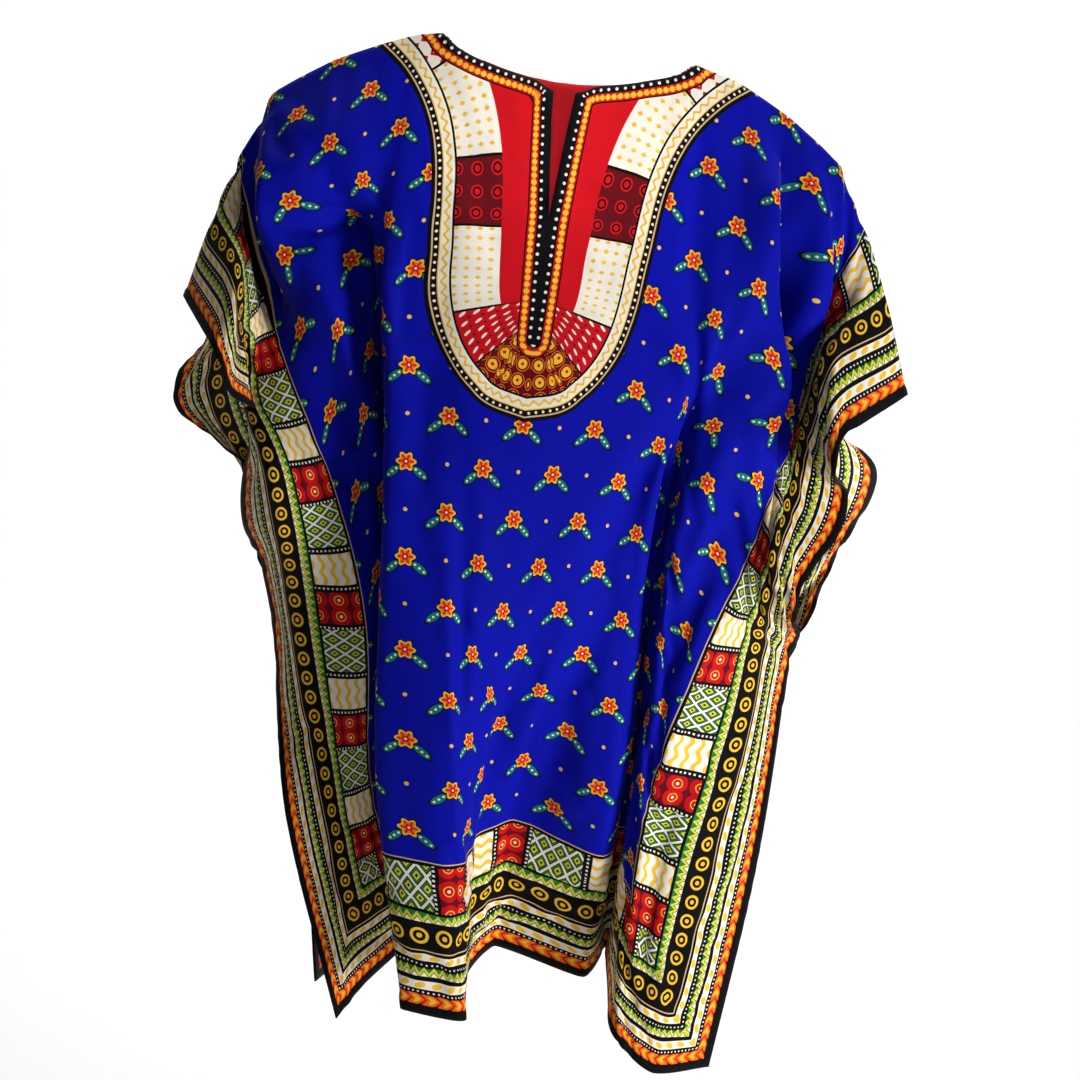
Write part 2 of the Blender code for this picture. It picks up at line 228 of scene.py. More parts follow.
# How strongly the cloth is drawn back to its hung form while it settles, by length down it
Hold = namedtuple("Hold", "down weight")
HOLDS = (Hold(0.00, 0.24), Hold(0.12, 0.19), Hold(0.20, 0.14), Hold(0.60, 0.15), Hold(0.79, 0.19))
SHOULDER_HOLD = 0.010       # length of cloth below the shoulder line that is held still
SHOULDER_END = 0.250        # how far out along the shoulder line that is
TURNED_EDGE = 0.022         # width of the firmer cloth along every edge
EDGE_HOLD = 0.60
SLEEVE = (0.24, 0.34)       # the hold grows to that of the edges between these places,
SLEEVE_END = 0.50           # down to this level
NECK_HOLD = 0.40            # the neck edge and the slit keep their shape best
DRIFT_BLUR = 12             # times that the settling's drift is averaged with its neighbours
CLOTH_APART = 0.003         # how close the cloth comes to itself
COTTON_PHYSICS = {
    "quality": 6,
    "mass": 0.05,
    "air_damping": 1.5,
    "tension_stiffness": 20.0,
    "compression_stiffness": 5.0,
    "shear_stiffness": 8.0,
    "tension_damping": 5.0,
    "compression_damping": 5.0,
    "shear_damping": 5.0,
    "bending_damping": 0.5,
}

FAR = 1.0e5                 # wider than anything printed, in millimetres
LEAF_DOT_STEP = 4.2         # between the dots down a leaf's middle, in millimetres
# Rows of the border, by their middles from the edge, and its steps along it, in millimetres
BORDER_WIDTH = 135
DASH_ROWS = (25.5, 50.5)
DOT_ROWS = (19.5, 43.5)
ZIGZAG_ROWS = (37, 86)
ROPE_ROW = 13
BLOCK_ROW, BLOCK_HALF = 112, 20
RING_ROW, RING_STEP = 70, 18
BLOCK_REPEAT = 118
CREAM_BLOCK = (56, 15)      # middle and half length, along one repeat
RED_BLOCK = (20, 15)
# Blocks of the yoke, by their middles and half lengths along its outline
LOZENGE_BLOCK = (22, 28)
RINGED_BLOCK = (145, 25)
STALKED_BLOCK = (265, 25)
YOKE_FOOT = 290
YOKE_EDGING = 16.4          # width of the bands around the blocks
NECK_FIELD = (52, 240)      # how deep and up to where the red field beside the slit lies
FIELD_DOT = 1.6
BLOCK_BARS = (1.5, 38, 74.5)              # bars across the border's blocks, along one repeat
YOKE_BARS = (50, 120, 170, 240, 290)      # bars across the yoke, along its outline

SURFACE_SAMPLES = 241
LEAST_FALL = 0.35
STEEPEST_SLOPE = 3.0


# ---- Settings ----


def length(name, description, default):
    return bpy.props.FloatProperty(
        name=name, description=description, default=default, min=0.0, precision=4, unit="LENGTH"
    )


def share(name, description, default, most=1.0):
    return bpy.props.FloatProperty(
        name=name, description=description, default=default, min=0.0, max=most, subtype="FACTOR"
    )


def count(name, description, default, least, most):
    return bpy.props.IntProperty(name=name, description=description, default=default, min=least, max=most)


def ink(name, description, default):
    return bpy.props.FloatVectorProperty(
        name=name, description=description, default=default, size=3, min=0.0, max=1.0, subtype="COLOR"
    )


def shown(red, green, blue):
    """The linear colour that is shown as these 0 to 255 values."""
    values = np.array([red, green, blue]) / 255.0
    return tuple(np.where(values <= 0.04045, values / 12.92, ((values + 0.055) / 1.055) ** 2.4))


class DashikiCut(bpy.types.PropertyGroup):
    """Sizes of the flat cloth and of its sewing."""

    half: length("Half width", "Middle of a panel to its cuff edge", 0.435)
    long: length("Length", "Shoulder line to hem", 0.79)
    seam_top: length("Cuff depth", "Shoulder line to the top of the side seam", 0.37)
    seam_bottom: length("Slit top", "Shoulder line to the bottom of the side seam", 0.43)
    seam_blend: length("Seam easing", "Length over which the edges come together at the seam", 0.05)
    neck_half: length("Neck half width", "Middle to neck corner", 0.10)
    front_drop: length("Front neck drop", "Depth of the front neck curve", 0.032)
    back_drop: length("Back neck drop", "Depth of the back neck curve", 0.033)
    corner_drop: length("Slit corner drop", "How much more the neck edge dips at the slit", 0.007)
    corner_reach: length("Slit corner reach", "Half width of that dip", 0.014)
    slit_bottom: length("Slit length", "Shoulder line to the bottom of the neck slit", 0.135)
    slit_width: length("Slit width", "Width of the slit's open top", 0.024)
    slit_reach: length("Slit reach", "How far from the slit its sides are pushed apart", 0.03)
    thickness: length("Cloth thickness", "One layer of cloth", 0.0005)
    hem_thickness: length("Hem thickness", "The turned and stitched edge", 0.0016)
    hem_width: length("Hem width", "Width of the turned edge", 0.009)
    seam_gap: length("Seam gap", "Gap between the panels at a seam", 0.0003)
    crispness: share("Crispness", "0 for round folds, 1 for sharply pressed ones", 0.50)
    stiffness: share("Stiffness", "How strongly the cloth keeps from bending", 0.15, 10.0)
    hem_stiffness: share("Hem stiffness", "The same along the turned edges", 5.0, 10.0)
    slack: share("Slack", "Share by which the cloth is longer than its hung form", 0.010, 0.2)
    return_share: share("Return", "Share of the settling's slow drift that is taken back", 0.90)
    crease_share: share("Creases", "Share of the settled creases that is kept", 0.65)
    settle_frames: count("Settling", "Frames for which the cloth settles", 36, 1, 120)
    columns: count("Columns", "Divisions across a panel as it settles", 96, 40, 200)
    rows: count("Rows", "Divisions down a panel as it settles", 88, 40, 200)


class DashikiInks(bpy.types.PropertyGroup):
    """Colours of the print."""

    ground: ink("Ground", "The plain middle of each panel", shown(4, 11, 152))
    black: ink("Black", "Outlines and dark bands", shown(9, 8, 11))
    cream: ink("Cream", "Undyed cloth in the print", shown(228, 222, 208))
    gold: ink("Gold", "Rings, dashes and waves", shown(232, 182, 44))
    lime: ink("Lime", "Zigzags and lozenges", shown(204, 198, 50))
    orange: ink("Orange", "Flower petals and the bright bands", shown(232, 104, 26))
    red: ink("Red", "Flower hearts, blocks and the neck field", shown(188, 14, 24))
    maroon: ink("Maroon", "Dark red blocks", shown(92, 12, 20))
    teal: ink("Teal", "Leaves", shown(20, 112, 104))
    green: ink("Green", "Lozenges and zigzag shadows", shown(40, 118, 58))
    tan: ink("Tan", "Fine lines", shown(206, 170, 118))


class DashikiStage(bpy.types.PropertyGroup):
    """Where the shirt is seen from, and what it is seen against."""

    distance: length("Camera distance", "Camera to the shoulder line, along -Y", 1.70)
    aim_down: length("Aim", "Height below the shoulder line that the camera looks at", 0.387)
    aim_across: length("Aim across", "How far to +X the camera looks", 0.022)
    view_width: length("View width", "Width seen at the point that the camera looks at", 0.864)
    roll: bpy.props.FloatProperty(
        name="Roll", description="The camera's lean", default=math.radians(6.9), subtype="ANGLE"
    )
    floor_drop: length("Floor", "Floor below the shoulder line", 1.25)
    floor_half: length("Floor half width", "Middle of the floor to its edge", 5.0)
    backdrop: length("Backdrop", "How far behind the shirt the floor curves up", 1.6)


# ---- Cloth form ----


def smooth(knots, values, places, crisp=0.0):
    """Values at the places: a cubic through every knot, level where it turns, so it never overshoots.

    The crisp share of the answer runs straight from knot to knot instead.
    """
    knots = np.asarray(knots, float)
    values = np.asarray(values, float)
    rises = np.diff(values, axis=0) / np.diff(knots).reshape((-1,) + (1,) * (values.ndim - 1))
    before, after = rises[:-1], rises[1:]
    steepest = STEEPEST_SLOPE * np.minimum(np.abs(before), np.abs(after))
    inner = np.where(before * after > 0, np.clip((before + after) / 2, -steepest, steepest), 0.0)
    slopes = np.concatenate([rises[:1], inner, rises[-1:]])
    index = np.clip(np.searchsorted(knots, places) - 1, 0, len(knots) - 2)
    shape = (-1,) + (1,) * (values.ndim - 1)
    width = (knots[index + 1] - knots[index]).reshape(shape)
    t = (places - knots[index]).reshape(shape) / width
    curve = (
        values[index] * (1 + 2 * t) * (1 - t) ** 2
        + slopes[index] * width * t * (1 - t) ** 2
        + values[index + 1] * t**2 * (3 - 2 * t)
        - slopes[index + 1] * width * t**2 * (1 - t)
    )
    straight = values[index] * (1 - t) + values[index + 1] * t
    return curve * (1 - crisp) + straight * crisp


def fold_lines(folds, cut):
    """Points down every fold (fold, sample, xyz): across and depth from the table, height from length."""
    flat = np.array([fold.flat for fold in folds])
    places = [point.flat for point in SHOULDER_LINE]
    top_across = np.interp(flat, places, [point.across for point in SHOULDER_LINE])
    top_height = np.interp(flat, places, [point.height for point in SHOULDER_LINE])
    down = np.linspace(0.0, cut.long, SURFACE_SAMPLES)
    levels = (0.0,) + LEVELS
    x = smooth(levels, np.column_stack([top_across, [fold.across for fold in folds]]).T, down).T
    y = smooth(levels, np.column_stack([np.zeros(len(folds)), [fold.depth for fold in folds]]).T, down).T
    step = down[1] - down[0]
    fall = np.sqrt(np.maximum(step**2 - np.diff(x) ** 2 - np.diff(y) ** 2, (LEAST_FALL * step) ** 2))
    fall *= np.array([fold.hang for fold in folds])[:, None]
    z = top_height[:, None] - np.column_stack([np.zeros(len(folds)), np.cumsum(fall, axis=1)])
    return np.stack([x, y, z], axis=2), down


def hung_lines(cut):
    """Both panels' fold lines, their outer edges drawn together along the side seams."""
    front, down = fold_lines(FRONT_FOLDS, cut)
    back = fold_lines(BACK_FOLDS, cut)[0]
    away = np.maximum(cut.seam_top - down, down - cut.seam_bottom)
    share = np.clip(1.0 - away / cut.seam_blend, 0.0, 1.0)
    share = (share**2 * (3.0 - 2.0 * share))[:, None]
    for edge in (0, -1):
        seam = (front[edge] + back[edge]) / 2
        front[edge] += (seam - front[edge]) * share
        back[edge] += (seam - back[edge]) * share
    return front, back, down


def neck_edge(flat, front, cut):
    """Length of cloth cut away below the shoulder line: a half oval, dipping at the front slit."""
    share = np.clip(np.abs(flat) / cut.neck_half, 0.0, 1.0)
    drop = cut.front_drop if front else cut.back_drop
    edge = drop * (1.0 - share**2) ** 0.7
    if front:
        edge += cut.corner_drop * np.exp(-((flat / cut.corner_reach) ** 2))
    return edge


def edge_distance(flat, down, front, cut):
    """Distance on the flat cloth to the nearest turned edge: sides, hem, neck and slit."""
    away = np.minimum(cut.half - np.abs(flat), cut.long - down)
    neck = down - neck_edge(flat, front, cut)
    away = np.where(np.abs(flat) < cut.neck_half, np.minimum(away, neck), away)
    if front:
        slit = np.hypot(flat, np.maximum(down - cut.slit_bottom, 0.0))
        away = np.minimum(away, slit)
    return away


def creased(points, normals, flat, down, creases):
    """The points moved along their normals: each crease is a bell across its run, fading at its ends."""
    rise = np.zeros(flat.shape)
    for crease in creases:
        angle = math.radians(crease.angle)
        x = flat - crease.flat
        y = down - crease.down
        along = (y * math.cos(angle) + x * math.sin(angle)) / (crease.length / 2)
        across = (x * math.cos(angle) - y * math.sin(angle)) / crease.width
        fade = np.clip(1.0 - along**2, 0.0, 1.0) ** 2
        rise += crease.rise * fade * np.exp(-(across**2))
    return points + normals * rise[:, :, None]


def grid_normals(points):
    """Unit normals of a grid of points (column, row, xyz), from its neighbours."""
    across = np.gradient(points, axis=0)
    down = np.gradient(points, axis=1)
    normals = np.cross(across, down)
    return normals / np.maximum(np.linalg.norm(normals, axis=2, keepdims=True), 1e-12)


def hung_grid(front, cut):
    """Points of a panel as a grid (column, row, xyz), with its flat and down places on the cloth.

    The surface runs through the fold lines. The middle column is doubled, and its two copies
    part above the slit's bottom, each half being pushed out by half the slit's width.
    """
    folds = FRONT_FOLDS if front else BACK_FOLDS
    front_lines, back_lines, down = hung_lines(cut)
    lines = front_lines if front else back_lines
    half = np.linspace(0.0, cut.half, cut.columns // 2 + 1)
    columns = np.concatenate([-half[::-1], half])
    side = np.repeat([-1.0, 1.0], len(half))
    surface = smooth([fold.flat for fold in folds], lines, columns, cut.crispness)
    top = neck_edge(columns, front, cut)
    share = np.linspace(0.0, 1.0, cut.rows + 1)
    rows = top[:, None] + (cut.long - top[:, None]) * share
    place = rows / (down[1] - down[0])
    index = np.minimum(place.astype(int), SURFACE_SAMPLES - 2)
    part = (place - index)[:, :, None]
    column = np.arange(len(columns))[:, None]
    points = surface[column, index] * (1 - part) + surface[column, index + 1] * part
    flat = np.repeat(columns[:, None], cut.rows + 1, axis=1)
    if front:
        opened = np.clip(1.0 - rows / cut.slit_bottom, 0.0, 1.0)
        push = 0.5 * cut.slit_width * opened * np.exp(-np.abs(flat) / cut.slit_reach)
        points[:, :, 0] += side[:, None] * push
    return points, flat, rows


def grid_quads(wide, high):
    """Faces of a grid numbered (column, row), leaving out the strip between the doubled middle columns."""
    index = np.arange(wide * high).reshape(wide, high)
    quads = np.stack([index[:-1, :-1], index[:-1, 1:], index[1:, 1:], index[1:, :-1]], axis=2)
    return np.delete(quads, wide // 2 - 1, axis=0).reshape(-1, 4)


def packed(join, quads):
    """Faces over joined vertices, renumbered without gaps, and the old number of each one kept."""
    quads = join[quads]
    used = np.unique(quads)
    number = np.zeros(len(join), int)
    number[used] = np.arange(len(used))
    return number[quads], used, number[join]


def sewn(flat, down, cut):
    """Vertex numbers of both panels, with those that the seams and the uncut middle join made one."""
    wide, high = flat[0].shape
    number = np.arange(2 * wide * high).reshape(2, wide, high)
    join = number.copy()
    middle = wide // 2
    whole = down[0][middle] >= cut.slit_bottom
    join[0, middle, whole] = number[0, middle - 1, whole]
    join[1, middle] = number[1, middle - 1]
    shoulder = np.abs(flat[0][:, 0]) >= cut.neck_half
    join[1, shoulder, 0] = join[0, shoulder, 0]
    for edge in (0, wide - 1):
        seam = (down[0][edge] >= cut.seam_top) & (down[0][edge] <= cut.seam_bottom)
        join[1, edge, seam] = number[0, edge, seam]
    return join.ravel()


def blurred(values):
    """A grid (column, row, xyz) averaged with its neighbours DRIFT_BLUR times, its edges repeated."""
    for _ in range(DRIFT_BLUR):
        padded = np.pad(values, ((1, 1), (0, 0), (0, 0)), mode="edge")
        values = (padded[:-2] + 2 * padded[1:-1] + padded[2:]) / 4
        padded = np.pad(values, ((0, 0), (1, 1), (0, 0)), mode="edge")
        values = (padded[:, :-2] + 2 * padded[:, 1:-1] + padded[:, 2:]) / 4
    return values


def settled(points, flat, down, cut):
    """Both panels after the cloth has settled for a moment under its own weight.

    It is a little longer than its hung form, so small creases form in it. The shoulder line is
    held still, and weaker pulls towards the hung form keep the folds and the edges in their places.
    """
    wide, high = flat[0].shape
    join = sewn(flat, down, cut)
    grid = grid_quads(wide, high)
    quads, used, number = packed(join, np.concatenate([grid, grid[:, ::-1] + wide * high]))
    places = np.concatenate([part.reshape(-1, 3) for part in points])[used]
    across, length, edge = (
        np.concatenate([part.ravel() for part in parts])[used]
        for parts in (flat, down, [edge_distance(flat[k], down[k], k == 0, cut) for k in (0, 1)])
    )
    mesh = bpy.data.meshes.new("settling")
    mesh.from_pydata(places.tolist(), [], quads.tolist())
    obj = bpy.data.objects.new("settling", mesh)
    scene = bpy.context.scene
    scene.collection.objects.link(obj)
    turned = edge < TURNED_EDGE
    held = (length <= SHOULDER_HOLD) & (np.abs(across) >= cut.neck_half) & (np.abs(across) <= SHOULDER_END)
    pull = np.interp(length, [hold.down for hold in HOLDS], [hold.weight for hold in HOLDS])
    outer = np.interp(np.abs(across), SLEEVE, (0.0, EDGE_HOLD)) * (length < SLEEVE_END)
    pull = np.maximum(pull, outer).round(2)
    pull[turned] = EDGE_HOLD
    pull[turned & (np.abs(across) < cut.neck_half) & (length < cut.slit_bottom + TURNED_EDGE)] = NECK_HOLD
    pull[held] = 1.0
    hold = obj.vertex_groups.new(name="hold")
    for weight in np.unique(pull):
        hold.add(np.flatnonzero(pull == weight).tolist(), weight, "REPLACE")
    hem = obj.vertex_groups.new(name="hem")
    hem.add(np.flatnonzero(turned).tolist(), 1.0, "REPLACE")
    cloth = obj.modifiers.new("Cloth", "CLOTH")
    settings = cloth.settings
    for name, value in COTTON_PHYSICS.items():
        setattr(settings, name, value)
    settings.bending_stiffness = cut.stiffness
    settings.bending_stiffness_max = cut.hem_stiffness
    settings.vertex_group_bending = hem.name
    settings.vertex_group_mass = hold.name
    settings.shrink_min = -cut.slack
    cloth.collision_settings.use_collision = False
    cloth.collision_settings.use_self_collision = True
    cloth.collision_settings.self_distance_min = CLOTH_APART
    cloth.point_cache.frame_start = 1
    cloth.point_cache.frame_end = cut.settle_frames
    for frame_number in range(1, cut.settle_frames + 1):
        scene.frame_set(frame_number)
    baked = obj.evaluated_get(bpy.context.evaluated_depsgraph_get()).to_mesh()
    moved = np.empty(len(baked.vertices) * 3)
    baked.vertices.foreach_get("co", moved)
    bpy.data.objects.remove(obj)
    bpy.data.meshes.remove(mesh)
    scene.frame_set(1)
    moved = moved.reshape(-1, 3)
    drift = np.concatenate([
        blurred(part).reshape(-1, 3) for part in (moved - places)[number].reshape(2, wide, high, 3)
    ])
    shared = np.zeros_like(moved)
    np.add.at(shared, number, drift)
    moved -= cut.return_share * shared / np.bincount(number)[:, None]
    moved = places + cut.crease_share * (moved - places)
    return moved[number].reshape(2, wide, high, 3)


def doubled(values):
    """A new row between every two: nine sixteenths of each neighbour, less a sixteenth of the next ones."""
    before = 2 * values[:1] - values[1:2]
    after = 2 * values[-1:] - values[-2:-1]
    padded = np.concatenate([before, values, after])
    fine = np.empty((2 * len(values) - 1,) + values.shape[1:])
    fine[0::2] = values
    fine[1::2] = (9 * (padded[1:-2] + padded[2:-1]) - padded[:-3] - padded[3:]) / 16
    return fine


def refined(values):
    """A grid (column, row, ...) at half the spacing, its two halves each by itself."""
    middle = len(values) // 2
    columns = np.concatenate([doubled(values[:middle]), doubled(values[middle:])])
    return np.swapaxes(doubled(np.swapaxes(columns, 0, 1)), 0, 1)


def hung_panels(cut):
    """Both panels' fine grids: hung, settled, refined, then finely creased along the listed creases."""
    points, flat, down = zip(*(hung_grid(front, cut) for front in (True, False)))
    points = settled(points, flat, down, cut)
    panels = []
    for part, front in enumerate((True, False)):
        outward = -1.0 if front else 1.0
        across, length = refined(flat[part]), refined(down[part])
        place = refined(points[part])
        normals = grid_normals(place) * (-1.0 if front else 1.0)
        place = creased(place, normals, across, length, FRONT_CREASES if front else BACK_CREASES)
        place[:, :, 1] += outward * cut.seam_gap / 2
        panels.append((place, across, length))
    return panels


# ---- Places on the print ----


def yoke_line():
    """One side of the yoke's outline as (flat, down) points, run on past the shoulder."""
    down = np.linspace(0.0, YOKE_OUTLINE[-1].down, OUTLINE_SAMPLES)
    half = smooth([p.down for p in YOKE_OUTLINE], [p.half_width for p in YOKE_OUTLINE], down)
    line = np.column_stack([half, down])
    ahead = np.linspace(-OVER_SHOULDER, 0.0, OUTLINE_SAMPLES // 4)[:-1, None]
    lead = line[1] - line[0]
    return np.concatenate([line[0] + ahead * lead / np.linalg.norm(lead), line])


def neck_line(cut):
    """The front neck edge from its corner to the middle, then down to where the slit's bands meet."""
    flat = np.linspace(cut.neck_half, NECK_EDGE_END, NECK_SAMPLES)
    edge = np.column_stack([flat, neck_edge(flat, True, cut)])
    edge = np.concatenate([[[cut.neck_half + OVER_SHOULDER, -OVER_SHOULDER]], edge])
    share = np.linspace(0.0, 1.0, 2 * NECK_SAMPLES)[1:, None]
    return np.concatenate([edge, edge[-1] * (1 - share) + np.array([0.0, NECK_BAND_END]) * share])


def beside(line, flat, down):
    """How far along the line each place lies and how far to its inner side, in millimetres."""
    place = np.stack([np.abs(flat).ravel(), down.ravel()], axis=1)
    lengths = np.concatenate([[0.0], np.cumsum(np.linalg.norm(np.diff(line, axis=0), axis=1))])
    run = np.gradient(line, axis=0)
    run /= np.linalg.norm(run, axis=1, keepdims=True)
    result = np.empty((len(place), 2))
    for start in range(0, len(place), PLACES_AT_ONCE):
        part = slice(start, start + PLACES_AT_ONCE)
        gaps = place[part, None, :] - line[None, :, :]
        near = np.argmin((gaps**2).sum(axis=2), axis=1)
        gap = gaps[np.arange(len(near)), near]
        side = gap[:, 1] * run[near, 0] - gap[:, 0] * run[near, 1]
        past_end = (near == len(line) - 1) & ((gap * run[near]).sum(axis=1) > 0.0)
        far = np.where(past_end, -np.linalg.norm(gap, axis=1), side)
        result[part] = np.column_stack([lengths[near] + (gap * run[near]).sum(axis=1), far])
    result[:, 0] -= OVER_SHOULDER
    return result / MM


def print_places(front, flat, down, cut):
    """The UV maps that the print is laid out by, in millimetres, each an array (vertex, 2).

    The back's neck edge is left plain, so its neck place is out of reach of every band.
    """
    plain = np.full((flat.size, 2), -FAR)
    return {
        "cut": np.column_stack([flat.ravel(), down.ravel()]) / MM,
        "yoke": beside(yoke_line(), flat, down),
        "neck": beside(neck_line(cut), flat, down) if front else plain,
    }


# ---- Mesh ----


def panel_mesh(name, front, grid, cut):
    """A panel's mesh from its fine grid, with the print's UV maps, and each vertex's edge distance."""
    points, flat, down = grid
    wide, high = flat.shape
    middle = wide // 2
    number = np.arange(wide * high).reshape(wide, high)
    whole = down[middle] >= cut.slit_bottom if front else slice(None)
    number[middle, whole] = number[middle - 1, whole]
    quads = grid_quads(wide, high)
    quads, used, _ = packed(number.ravel(), quads if front else quads[:, ::-1])
    mesh = bpy.data.meshes.new(name)
    mesh.vertices.add(len(used))
    mesh.vertices.foreach_set("co", points.reshape(-1, 3)[used].astype(np.float32).ravel())
    mesh.loops.add(quads.size)
    mesh.loops.foreach_set("vertex_index", quads.astype(np.int32).ravel())
    mesh.polygons.add(len(quads))
    mesh.polygons.foreach_set("loop_start", np.arange(0, quads.size, 4, dtype=np.int32))
    mesh.update(calc_edges=True)
    for layer, values in print_places(front, flat, down, cut).items():
        uv = mesh.uv_layers.new(name=layer)
        uv.data.foreach_set("uv", values[used][quads.ravel()].astype(np.float32).ravel())
    mesh.shade_smooth()
    return mesh, edge_distance(flat, down, front, cut).ravel()[used]


def make_panel(name, node, front, grid):
    """One panel's shell, thicker along its turned edges, with the wrong side's material inside."""
    cut = bpy.context.scene.dashiki_cut
    mesh, edge = panel_mesh(name, front, grid, cut)
    obj = bpy.data.objects.new(name, mesh)
    bpy.context.scene.collection.objects.link(obj)
    mesh.materials.append(bpy.data.materials["printed cotton"])
    mesh.materials.append(bpy.data.materials["printed cotton, wrong side"])
    group = obj.vertex_groups.new(name="turned edge")
    turned = np.flatnonzero(edge < cut.hem_width)
    group.add(turned.tolist(), 1.0, "REPLACE")
    wall = obj.modifiers.new("Cloth", "SOLIDIFY")
    wall.thickness = cut.hem_thickness
    wall.offset = 1.0
    wall.vertex_group = group.name
    wall.thickness_vertex_group = cut.thickness / cut.hem_thickness
    wall.material_offset = 1
    wall.material_offset_rim = 0
    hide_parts(node)
    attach(obj, "root")
    flat_area = cloth_area(front, cut)
    return obj


def cloth_area(front, cut):
    """Flat area of a panel: its rectangle less the neck curve."""
    flat = np.linspace(-cut.neck_half, cut.neck_half, 201)
    edge = neck_edge(flat, front, cut)
    return 2 * cut.half * cut.long - float(edge.mean()) * 2 * cut.neck_half


# ---- Shader arithmetic ----

MOTIF = {"Under": "NodeSocketColor", "Place": "NodeSocketVector"}
PAINTED = {"Color": "NodeSocketColor"}


class Wire:
    """A value running between shader nodes. Arithmetic on it adds Math nodes to its tree."""

    def __init__(self, tree, socket):
        self.tree = tree
        self.socket = socket

    def math(self, operation, *values):
        return added(self.tree, "ShaderNodeMath", operation, (self,) + values)

    def __add__(self, other):
        return self.math("ADD", other)

    def __radd__(self, other):
        return self.math("ADD", other)

    def __sub__(self, other):
        return self.math("SUBTRACT", other)

    def __rsub__(self, other):
        return added(self.tree, "ShaderNodeMath", "SUBTRACT", (other, self))

    def __mul__(self, other):
        return self.math("MULTIPLY", other)

    def __truediv__(self, other):
        return self.math("DIVIDE", other)

    def __lt__(self, other):
        return self.math("LESS_THAN", other)

    def __gt__(self, other):
        return self.math("GREATER_THAN", other)

    def __abs__(self):
        return self.math("ABSOLUTE")

    def near(self, value, reach):
        """1 within reach of the value and 0 elsewhere."""
        return self.math("COMPARE", value, reach)

    def near_any(self, values, reach):
        """1 within reach of any of the values and 0 elsewhere."""
        first, *rest = [self.near(value, reach) for value in values]
        for other in rest:
            first = first.math("MAXIMUM", other)
        return first

    def vector(self, operation, *values):
        return added(self.tree, "ShaderNodeVectorMath", operation, (self,) + values)

    def repeated(self, across, along=2 * FAR):
        """The place inside a tile of this size, measured from the tile's middle."""
        half = (across / 2, along / 2, FAR)
        return self.vector("WRAP", half, tuple(-side for side in half))

    def framed(self, place, degrees, size):
        """The place seen from a frame at this place, turned and scaled so."""
        node = self.tree.nodes.new("ShaderNodeMapping")
        node.vector_type = "TEXTURE"
        plug(self.tree, self, node.inputs["Vector"])
        node.inputs["Location"].default_value = (*place, 0.0)
        node.inputs["Rotation"].default_value = (0.0, 0.0, math.radians(degrees))
        node.inputs["Scale"].default_value = (*size, 1.0)
        return Wire(self.tree, node.outputs[0])

    def spot(self, middle, size, degrees=0):
        """1 inside an oval with its middle there and these half sizes, and 0 elsewhere."""
        return self.framed(middle, degrees, size).length() < 1.0

    def split(self):
        node = self.tree.nodes.new("ShaderNodeSeparateXYZ")
        plug(self.tree, self, node.inputs[0])
        return Wire(self.tree, node.outputs[0]), Wire(self.tree, node.outputs[1])

    def length(self):
        return self.vector("LENGTH")

    def lozenge(self, half_x, half_y):
        """0 at the middle of a lozenge and 1 at its edge."""
        return self.vector("ABSOLUTE").vector("DOT_PRODUCT", (1 / half_x, 1 / half_y, 0.0))


def plug(tree, value, socket):
    """Join a wire to a socket, or set the socket to a number, colour or vector."""
    if isinstance(value, Wire):
        tree.links.new(value.socket, socket)
    elif isinstance(value, (int, float)):
        socket.default_value = value
    else:
        socket.default_value = (tuple(value) + (1.0,))[: len(socket.default_value)]


def added(tree, kind, operation, values):
    """A Math or Vector Math node with its inputs joined, as a wire from the output that it fills."""
    node = tree.nodes.new(kind)
    node.operation = operation
    for value, socket in zip(values, node.inputs):
        plug(tree, value, socket)
    return Wire(tree, node.outputs[1 if operation in ("LENGTH", "DOT_PRODUCT") else 0])


def joined(tree, x, y):
    node = tree.nodes.new("ShaderNodeCombineXYZ")
    plug(tree, x, node.inputs[0])
    plug(tree, y, node.inputs[1])
    return Wire(tree, node.outputs[0])


class Paint:
    """A colour that motifs are laid on, one over another."""

    def __init__(self, tree, under):
        self.tree = tree
        self.color = under

    def lay(self, mask, ink):
        """The ink where the mask is 1."""
        node = self.tree.nodes.new("ShaderNodeMix")
        node.data_type = "RGBA"
        plug(self.tree, mask, node.inputs["Factor"])
        plug(self.tree, self.color, node.inputs[6])
        plug(self.tree, ink, node.inputs[7])
        self.color = Wire(self.tree, node.outputs[2])

    def steps(self, value, stops, within=None):
        """Flat steps of ink by a value: (where a step starts, its ink), the ink None being clear.

        Where within is given, they are laid only where it is 1.
        """
        reach = stops[-1][0] or 1.0
        node = self.tree.nodes.new("ShaderNodeValToRGB")
        node.color_ramp.interpolation = "CONSTANT"
        elements = node.color_ramp.elements
        elements.remove(elements[1])
        for number, (start, ink) in enumerate(stops):
            element = elements.new(start / reach) if number else elements[0]
            element.position = start / reach
            element.color = (0.0, 0.0, 0.0, 0.0) if ink is None else (*ink, 1.0)
        plug(self.tree, value if reach == 1.0 else value / reach, node.inputs[0])
        mask = Wire(self.tree, node.outputs["Alpha"])
        if within is not None:
            mask = mask * within
        self.lay(mask, Wire(self.tree, node.outputs["Color"]))

    def oval(self, place, middle, degrees, size, *stops):
        """An oval of inks: stops run from 0 at its middle, and it is clear from its edge at 1."""
        frame_place = place.framed(middle, degrees, size)
        self.steps(frame_place.length(), (*stops, (1.0, None)))
        return frame_place

    def leaf(self, place, middle, degrees, size, edge, fill, dots):
        """A leaf: an edged oval with a dotted line down its middle."""
        inside = self.oval(place, middle, degrees, size, (0.0, fill), (0.80, edge))
        vein = inside.repeated(2 * FAR, LEAF_DOT_STEP / size[1])
        self.lay(vein.spot((0.0, 0.0), (0.9 / size[0], 1.0 / size[1])) * (inside.length() < 0.72), dots)


